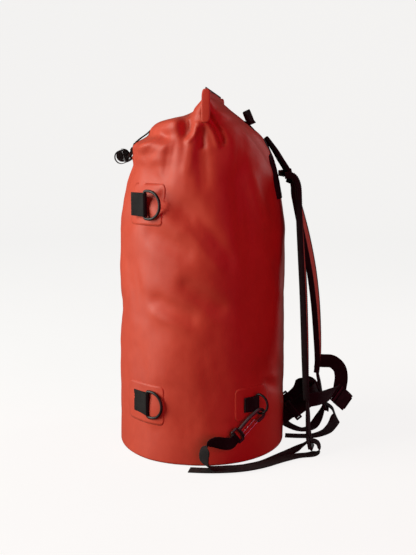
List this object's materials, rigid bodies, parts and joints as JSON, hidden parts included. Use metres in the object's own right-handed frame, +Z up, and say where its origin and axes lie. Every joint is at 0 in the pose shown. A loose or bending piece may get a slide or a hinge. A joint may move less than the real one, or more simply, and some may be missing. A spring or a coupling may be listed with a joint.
{
  "type": "roll-top dry bag backpack",
  "caption": "Upright roll-top dry bag in coated fabric, with D-ring lash points, carabiner-clipped padded shoulder straps, buckles and a haul loop.",
  "frame": {"origin": "centre of the round base panel, on the floor that the bag stands on", "axes": "+Z up along the bag; +X from the front closure to the side with the shoulder straps; +Y from the near to the far side"},
  "size_m": [0.4325, 0.3638, 0.6155],
  "materials": {
    "tarpaulin": "smooth coated fabric, satin",
    "strap_fabric": "coated fabric, satin",
    "pad_mesh": "black spacer mesh, matt",
    "webbing": "black woven webbing",
    "elastic": "knitted elastic",
    "stiffener": "black plastic strip, matt",
    "black_plastic": "moulded black plastic, fine texture",
    "black_metal": "black coated wire, satin",
    "steel_wire": "drawn steel wire"
  },
  "bodies": {
    "root": {"bag_shell": "tarpaulin", "base_panel": "tarpaulin", "base_weld_tape": "tarpaulin", "belt_buckle_female": "black_plastic", "belt_patches": "tarpaulin", "far_adjuster_webbing": "webbing", "far_belt_anchor": "webbing", "far_belt_ring": "black_metal", "far_belt_webbing": "webbing", "far_lower_lash_tab": "webbing", "far_strap_tab": "webbing", "far_upper_lash_tab": "webbing", "front_patch": "tarpaulin", "front_tab": "webbing", "haul_feet": "webbing", "lash_patches": "tarpaulin", "lifter_webbing": "webbing", "near_adjuster_webbing": "webbing", "near_belt_anchor": "webbing", "near_belt_ring": "black_metal", "near_belt_webbing": "webbing", "near_lower_lash_tab": "webbing", "near_strap_tab": "webbing", "near_upper_lash_tab": "webbing", "strap_patches": "tarpaulin", "yoke_panel": "pad_mesh"},
    "collar": {"collar_roll": "tarpaulin", "mouth_stiffener": "stiffener", "roll_tab": "webbing"},
    "roll_buckle": {"closure_buckle_female": "black_plastic"},
    "closure": {"closure_buckle_male": "black_plastic", "closure_tail_coil": "webbing", "coil_keeper": "elastic"},
    "haul_handle": {"haul_loop": "webbing"},
    "near_lower_ring": {"near_lower_lash_ring": "black_metal"},
    "far_lower_ring": {"far_lower_lash_ring": "black_metal"},
    "near_upper_ring": {"near_upper_lash_ring": "black_metal"},
    "far_upper_ring": {"far_upper_lash_ring": "black_metal"},
    "near_ring": {"near_strap_ring": "black_metal"},
    "near_hook": {"near_carabiner": "black_plastic"},
    "near_gate": {"near_carabiner_gate": "steel_wire"},
    "far_ring": {"far_strap_ring": "black_metal"},
    "far_hook": {"far_carabiner": "black_plastic"},
    "far_gate": {"far_carabiner_gate": "steel_wire"},
    "near_strap": {"near_strap_shell": "strap_fabric", "near_strap_pad": "pad_mesh", "near_strap_binding": "webbing", "near_lock_webbing": "webbing", "sternum_webbing_near": "webbing", "strap_yoke": "webbing"},
    "far_strap": {"far_strap_shell": "strap_fabric", "far_strap_pad": "pad_mesh", "far_strap_binding": "webbing", "far_lock_webbing": "webbing", "sternum_webbing_far": "webbing", "sternum_buckle_female": "black_plastic"},
    "near_lock": {"near_ladder_lock": "black_plastic"},
    "far_lock": {"far_ladder_lock": "black_plastic"},
    "sternum_male": {"sternum_buckle_male": "black_plastic"},
    "belt_male": {"belt_buckle_male": "black_plastic"}
  },
  "joints": [
    {"name": "collar_tilt", "type": "hinge", "parent": "root", "child": "collar", "pos_m": [0.019, 0, 0.5888], "axis": [0.0958, 0.9954, 0], "range_deg": [-30, 60]},
    {"name": "roll_buckle_lift", "type": "hinge", "parent": "collar", "child": "roll_buckle", "pos_m": [0.00715, 0.00114, 0.6115], "axis": [0.0958, 0.9954, 0], "range_deg": [0, 100]},
    {"name": "closure_lift", "type": "hinge", "parent": "root", "child": "closure", "pos_m": [-0.1162, 0, 0.5265], "axis": [0, 1, 0], "range_deg": [0, 90]},
    {"name": "haul_loop_fold", "type": "hinge", "parent": "root", "child": "haul_handle", "pos_m": [0.08364, 0, 0.56153], "axis": [0, 1, 0], "range_deg": [0, 35]},
    {"name": "near_lower_ring_swing", "type": "hinge", "parent": "root", "child": "near_lower_ring", "pos_m": [-0.09348, -0.11795, 0.098], "axis": [0, 0, -1], "range_deg": [0, 160]},
    {"name": "far_lower_ring_swing", "type": "hinge", "parent": "root", "child": "far_lower_ring", "pos_m": [-0.09348, 0.11795, 0.098], "axis": [0, 0, 1], "range_deg": [0, 160]},
    {"name": "near_upper_ring_swing", "type": "hinge", "parent": "root", "child": "near_upper_ring", "pos_m": [-0.09348, -0.11795, 0.4314], "axis": [0, 0, -1], "range_deg": [0, 160]},
    {"name": "far_upper_ring_swing", "type": "hinge", "parent": "root", "child": "far_upper_ring", "pos_m": [-0.09348, 0.11795, 0.4314], "axis": [0, 0, 1], "range_deg": [0, 160]},
    {"name": "near_strap_ring_swing", "type": "hinge", "parent": "root", "child": "near_ring", "pos_m": [0.09096, -0.1194, 0.0995], "axis": [0, 0, 1], "range_deg": [0, 35], "deforming": ["near_adjuster_webbing"]},
    {"name": "near_carabiner_swing", "type": "hinge", "parent": "root", "child": "near_hook", "pos_m": [0.09096, -0.1194, 0.0995], "axis": [0, 0, 1], "range_deg": [0, 35], "deforming": ["near_adjuster_webbing"]},
    {"name": "near_gate_open", "type": "hinge", "parent": "near_hook", "child": "near_gate", "pos_m": [0.06741, -0.13583, 0.05022], "axis": [0.4942, -0.8634, -0.1016], "range_deg": [0, 18], "stiffness_Nm_per_rad": 0.02},
    {"name": "far_strap_ring_swing", "type": "hinge", "parent": "root", "child": "far_ring", "pos_m": [0.09096, 0.1194, 0.0995], "axis": [0, 0, -1], "range_deg": [0, 35], "deforming": ["far_adjuster_webbing"]},
    {"name": "far_carabiner_swing", "type": "hinge", "parent": "root", "child": "far_hook", "pos_m": [0.09096, 0.1194, 0.0995], "axis": [0, 0, -1], "range_deg": [0, 35], "deforming": ["far_adjuster_webbing"]},
    {"name": "far_gate_open", "type": "hinge", "parent": "far_hook", "child": "far_gate", "pos_m": [0.06741, 0.13583, 0.05022], "axis": [-0.4942, -0.8634, 0.1016], "range_deg": [0, 18], "stiffness_Nm_per_rad": 0.02},
    {"name": "near_strap_swing", "type": "hinge", "parent": "root", "child": "near_strap", "pos_m": [0.137, 0, 0.474], "axis": [0, -1, 0], "range_deg": [0, 18], "deforming": ["near_adjuster_webbing"]},
    {"name": "far_strap_swing", "type": "hinge", "parent": "root", "child": "far_strap", "pos_m": [0.137, 0, 0.474], "axis": [0, -1, 0], "range_deg": [0, 18], "deforming": ["far_adjuster_webbing"]},
    {"name": "near_lock_tilt", "type": "hinge", "parent": "near_strap", "child": "near_lock", "pos_m": [0.182, -0.086, 0.033], "axis": [0.2733, 0.9614, 0.0313], "range_deg": [0, 20], "deforming": ["near_adjuster_webbing"]},
    {"name": "far_lock_tilt", "type": "hinge", "parent": "far_strap", "child": "far_lock", "pos_m": [0.227, 0.072, 0.047], "axis": [0.1654, 0.9833, 0.0764], "range_deg": [0, 20], "deforming": ["far_adjuster_webbing"]},
    {"name": "sternum_release", "type": "slide", "parent": "near_strap", "child": "sternum_male", "axis": [-0.6198, -0.4399, 0.6498], "range_m": [0, 0.022], "deforming": ["sternum_webbing_near"]},
    {"name": "belt_release", "type": "slide", "parent": "root", "child": "belt_male", "axis": [0.3145, -0.9435, 0.1048], "range_m": [0, 0.02], "deforming": ["near_belt_webbing"]}
  ],
  "couplings": [
    {"joint": "near_strap_ring_swing", "follows": "near_carabiner_swing", "ratio": 1},
    {"joint": "far_strap_ring_swing", "follows": "far_carabiner_swing", "ratio": 1},
    {"joint": "far_strap_swing", "follows": "near_strap_swing", "ratio": 1}
  ]
}
